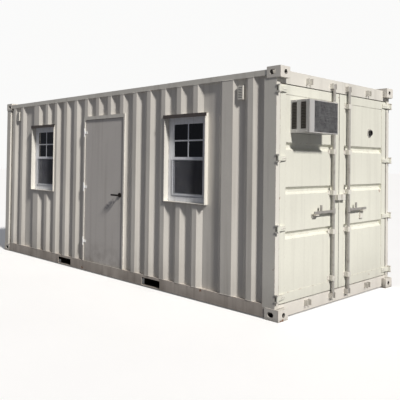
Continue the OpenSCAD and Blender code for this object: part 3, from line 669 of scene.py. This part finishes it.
wire_cloth = Finish("screen_wire", Metallic=0.3, Roughness=0.6)
wire_cloth.set("Base Color", wire_cloth.mix(wire_cloth.band(wire_cloth.noise(8, 5), 0.4, 0.7),
                                            (0.16, 0.165, 0.195), (0.22, 0.225, 0.245)))
cloth.done("fly_screens", "cabin", "window_sashes", wire_cloth)

seal, caps = Maker(), Maker()
mastic = Finish("old_mastic", Roughness=0.6)
mastic.set("Base Color", mastic.mix(mastic.band(mastic.noise(30, 6), 0.4, 0.65),
                                    (0.52, 0.51, 0.48), (0.24, 0.22, 0.2)))
mastic.bump(mastic.noise(90, 4), 0.0015, 0.8)
# The caps' near-black coat is partly paint and partly painted shade: it darkens the band over
# each window head.
cap_coat_and_shade = painted("drip_cap_coat_and_shade", colour=(0.115, 0.098, 0.09), dirt=0.5, splash=0,
                   rust=0.9, rough=0.55)
for low, high in solids("window_frames"):
    y = frame_front
    seal.tube([(low.x, y, low.z), (high.x, y, low.z), (high.x, y, high.z), (low.x, y, high.z)],
              0.004, 7, closed=True)
for low, high in solids("window_boxes"):
    front = low.y
    x0, x1 = low.x - 0.02, high.x + 0.02
    caps.block((x0, front - 0.0016, high.z - 0.037), (x1, front - 0.0001, high.z + 0.004))
    caps.block((x0, front - 0.0016, high.z + 0.003), (x1, -wall_high.y, high.z + 0.0048))
    caps.block((x0, front - 0.0068, high.z - 0.0388), (x1, front - 0.0001, high.z - 0.037))
    # This thin strip under each window box, in the same near-black coat, is a painted shadow
    # line under the sill.
    caps.block((x0, front, low.z - 0.0032), (x1, -wall_high.y, low.z - 0.0014))
seal.done("window_sealant", "cabin", "window_frames", mastic)
caps.done("drip_caps", "cabin", "window_boxes", cap_coat_and_shade, 0.0005)

# %% [markdown]
# ## The entry door's small parts
# Each hinge wing is held to the leaf by two pan-head screws, and the lever turns on a round
# plate with a small screw above and below its spindle. They are too small for collision,
# and flat discs would do from afar. Low domes catch the light as pressed heads do, so the
# door also holds up from a hand's width away.

# %% Hinge and lever screws
small = Maker()
for low, high in solids("entry_hinge_wings"):
    for dz in (-0.011, 0.011):
        small.rivet((high.x - 0.014, leaf_low.y - 0.005, (low.z + high.z) / 2 + dz),
                    (0, -1, 0), 0.0035)
for dz in (-0.021, 0.021):
    small.rivet((lever_high.x - 0.02, leaf_low.y, lever_z + dz), (0, -1, 0), 0.003)
small.done("door_screws", "entry_leaf", "entry_hinge_wings", zinc)

# %% [markdown]
# ## Rivets, plates and seals on the cargo doors
# Each rod guide is a strap over a plate, held by four collared pins, and each hinge blade
# is riveted to the leaf. Black rubber lips run round both leaves and close the gaps, so the
# gaps read as clean dark lines. A bevelled strip would be enough from afar, but three lips
# side by side show as a seal does when a leaf is open. They stop almost three millimetres
# short of each other, because the leaves must swing past.

# %% Guide plates and rivets
ROD_OUT = 0.165  # from the middle of the cabin to a rod
for side, body in (("left", "cargo_leaf_left"), ("right", "cargo_leaf_right")):
    sign = -1 if side == "left" else 1
    rod_y = sign * ROD_OUT
    plates, heads = Maker(), Maker()
    for low, high in solids("lock_brackets_" + side):
        mid = (low + high) / 2
        if abs(mid.y - rod_y) < 0.01 and high.z - low.z < 0.07:
            x = low.x
            plates.block((x, mid.y - 0.062, low.z + 0.004), (x + 0.0045, mid.y + 0.062,
                                                            high.z - 0.004))
            for dy in (-0.05, 0.05):
                for dz in (-0.014, 0.014):
                    heads.rivet((x + 0.0045, mid.y + dy, mid.z + dz), (1, 0, 0), 0.0055)
    for low, high in solids("cargo_hinges_" + side):
        inner = min(abs(low.y), abs(high.y))
        for out in (0.018, 0.048, 0.078):
            heads.rivet((low.x + 0.0098 + 0.137 * out, sign * (inner + out),
                         (low.z + high.z) / 2), (1, -0.136 * sign, 0), 0.0075)
    plates.done("guide_plates_" + side, body, "lock_brackets_" + side, frame_paint, 0.001)
    heads.done("rivets_" + side, body, "lock_brackets_" + side, frame_paint)

# This black finish serves real rubber and, on the vent slots, painted shade.
rubber_and_slot_shade = Finish("black_rubber_and_slot_shade", Specular_IOR_Level=0.35)
chalked = rubber_and_slot_shade.band(rubber_and_slot_shade.noise(20, 6), 0.45, 0.7, 0, 0.7)
rubber_and_slot_shade.set("Base Color", rubber_and_slot_shade.mix(chalked, (0.028, 0.027, 0.026), (0.13, 0.12, 0.105)))
rubber_and_slot_shade.set("Roughness", rubber_and_slot_shade.band(rubber_and_slot_shade.noise(40, 3), 0.3, 0.7, 0.55, 0.8))
rubber_and_slot_shade.bump(rubber_and_slot_shade.noise(120, 4), 0.0008, 0.6)
for side, body in (("left", "cargo_leaf_left"), ("right", "cargo_leaf_right")):
    low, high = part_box("cargo_frame_" + side)
    front = high.x - 0.004
    lips = Maker()
    for y, way in ((low.y, -1), (high.y, 1)):
        for back, reach in ((0.0, 0.004), (0.012, 0.0046), (0.026, 0.004)):
            lips.block((front - back - 0.005, min(y, y + way * reach), low.z - 0.003),
                       (front - back, max(y, y + way * reach), high.z + 0.003))
    for z, way in ((low.z, -1), (high.z, 1)):
        for back, reach in ((0.0, 0.004), (0.012, 0.0045), (0.026, 0.004)):
            lips.block((front - back - 0.005, low.y, min(z, z + way * reach)),
                       (front - back, high.y, max(z, z + way * reach)))
    lips.done("rubber_lips_" + side, body, "cargo_frame_" + side, rubber_and_slot_shade, 0.0008)

# %% [markdown]
# ## The air conditioner's louvres and fins
# Slanted louvre blades fill the openings in the case's sides, and the coil's outer face is
# a stack of aluminium fins 2.1 mm apart. A striped bump would lie flat when seen from the
# side, so the fins are real. A few stand aside where something brushed them, and a guard
# of thin wires keeps hands off.

# %% Louvres, fins and guard
case_low, case_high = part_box("ac_casing")
coil_low, coil_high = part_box("ac_coil")
body_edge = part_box("top_castings")[1].x
LOUVRE_LEAN, LOUVRE_PITCH = 38, 0.016  # degrees and metres
louvres = Maker()
for x0 in (body_edge - 0.048, body_edge + 0.066):
    for y, flip in ((case_low.y + 0.0015, 1), (case_high.y - 0.0015, -1)):
        z = case_low.z + 0.052
        while z < case_high.z - 0.03:
            tilt = Matrix.Rotation(math.radians(-LOUVRE_LEAN * flip), 3, "X")
            louvres.block((x0 + 0.0005, y + flip * 0.0015 - 0.009, z - 0.0006),
                          (x0 + 0.0615, y + flip * 0.0015 + 0.009, z + 0.0006), tilt)
            z += LOUVRE_PITCH
louvre_finish = painted("louvre_coat", colour=(0.15, 0.14, 0.13), dirt=0.5, splash=0,
                        rust=0.5, rough=0.5)
louvres.done("side_louvres", "cargo_leaf_left", "ac_casing", louvre_finish)

FIN_PITCH, FIN_EDGE = 0.0021, 0.004
fins = Maker()
y = coil_low.y + FIN_EDGE
while y < coil_high.y - FIN_EDGE:
    bent = random.uniform(-0.0009, 0.0009) if random.random() < 0.15 else 0.0
    fins.block((coil_high.x - 0.004, y - 0.0003 + bent, coil_low.z + FIN_EDGE),
               (coil_high.x + 0.0022, y + 0.0003 + bent, coil_high.z - FIN_EDGE))
    y += FIN_PITCH
fin_metal = Finish("fin_metal", Metallic=0.55)
fin_metal.set("Base Color", fin_metal.mix(fin_metal.band(fin_metal.noise(18, 6), 0.35, 0.7),
                                          (0.42, 0.42, 0.43), (0.24, 0.24, 0.245)))
fin_metal.set("Roughness", fin_metal.band(fin_metal.noise(50, 3), 0.3, 0.7, 0.45, 0.65))
fins.done("coil_fins", "cargo_leaf_left", "ac_coil", fin_metal)

guard = Maker()
edge = case_high.x - 0.0006
for k in range(1, 9):
    z = coil_low.z + (coil_high.z - coil_low.z) * k / 9
    guard.tube([(edge, coil_low.y + 0.002, z), (edge, coil_high.y - 0.002, z)], 0.0006, 6)
guard.done("coil_guard", "cargo_leaf_left", "ac_coil", galvanised)

screws = Maker()
for x in (case_low.x + 0.29, case_low.x + 0.41):
    screws.rivet((x, case_low.y, case_low.z + 0.018), (0, -1, 0), 0.0035)
    screws.rivet((x, case_low.y, case_high.z - 0.012), (0, -1, 0), 0.0035)
    screws.rivet((x, case_high.y, case_low.z + 0.018), (0, 1, 0), 0.0035)
screws.done("case_screws", "cargo_leaf_left", "ac_casing", zinc)

# %% [markdown]
# ## Vents and the cable gland
# A container breathes through small moulded vents near the top of its long sides. Their
# slots are too narrow to look into, so thin black strips stand for them. The round gland
# in the right leaf is a grey flange held by three screws, with a black rubber core. The
# core could be a solid of its own, but it is moulded in, so one finish tells the two
# colours apart by distance from the middle.

# %% Gland in two colours
gland_low, gland_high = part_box("cable_fitting")
centre = (gland_low + gland_high) / 2
two_part = Finish("gland_flange_and_core", Specular_IOR_Level=0.4)
off_y = two_part.sums("SUBTRACT", two_part.along("Y"), centre.y)
off_z = two_part.sums("SUBTRACT", two_part.along("Z"), centre.z)
out = two_part.sums("SQRT", two_part.sums("ADD", two_part.sums("MULTIPLY", off_y, off_y),
                                          two_part.sums("MULTIPLY", off_z, off_z)), 0.0)
core = two_part.band(out, 0.0355, 0.0345)
grey = two_part.mix(two_part.band(two_part.noise(40, 5), 0.35, 0.7), (0.62, 0.60, 0.55),
                    (0.45, 0.43, 0.40))
two_part.set("Base Color", two_part.mix(core, grey, (0.03, 0.029, 0.028)))
two_part.set("Roughness", two_part.band(two_part.noise(60, 3), 0.3, 0.7, 0.45, 0.65))
two_part.bump(two_part.noise(200, 3), 0.0006, 0.5)
wear("cable_fitting", two_part)
print("gland across", round(gland_high.y - gland_low.y, 3), "m")

# %% Vent slots and gland screws
slots = Maker()
for low, high in solids("ventilators"):
    y, way = (low.y, -1) if low.y < 0 else (high.y, 1)
    for k in range(7):
        z = low.z + 0.022 + k * (high.z - low.z - 0.044) / 6
        slots.block((low.x + 0.012, y - 0.0004, z - 0.003), (high.x - 0.012, y + 0.0004,
                                                            z + 0.003))
# The black strips are painted shade: they stand for the dark inside the vent slots.
slots.done("vent_slots", "cabin", "ventilators", rubber_and_slot_shade)
gland = Maker()
for k in range(3):
    t = math.tau * k / 3 + 0.5
    gland.rivet((gland_low.x + 0.006, centre.y + 0.045 * math.cos(t),
                 centre.z + 0.045 * math.sin(t)), (1, 0, 0), 0.0038)
gland.done("gland_screws", "cargo_leaf_right", "cable_fitting", zinc)

# %% [markdown]
# ## The floor of the studio
# The cabin stands on a wide pale sheet with a trace of mottling in its tone. It isn't part
# of the cabin. A sunlit white floor would throw so much light up that the shaded side would
# lose its depth, so the floor looks pale but passes on only as much light as bare concrete
# does. A trace of glow brings it to the backdrop's tone, which hides the horizon.

# %% Studio floor
REACH = 90
pale = Finish("studio_floor", Specular_IOR_Level=0.2)
shown = pale.mix(pale.band(pale.noise(0.6, 5), 0.3, 0.7), (0.955, 0.955, 0.95),
                 (0.985, 0.985, 0.98))
direct = pale.node("LightPath").outputs["Is Camera Ray"]
pale.set("Base Color", pale.mix(direct, (0.20, 0.20, 0.21), shown))
pale.set("Emission Color", shown)
pale.set("Emission Strength", pale.sums("MULTIPLY", direct, 0.11))
pale.set("Roughness", pale.band(pale.noise(30, 4), 0.3, 0.7, 0.8, 0.95))
ground = bpy.data.meshes.new("studio_floor")
ground.from_pydata([(-REACH, -REACH, 0), (REACH, -REACH, 0), (REACH, REACH, 0),
                    (-REACH, REACH, 0)], [], [(0, 1, 2, 3)])
ground.materials.append(pale.mat)
studio = bpy.data.objects.new("studio_floor", ground)
bpy.context.scene.collection.objects.link(studio)
print("studio floor", 2 * REACH, "m across")
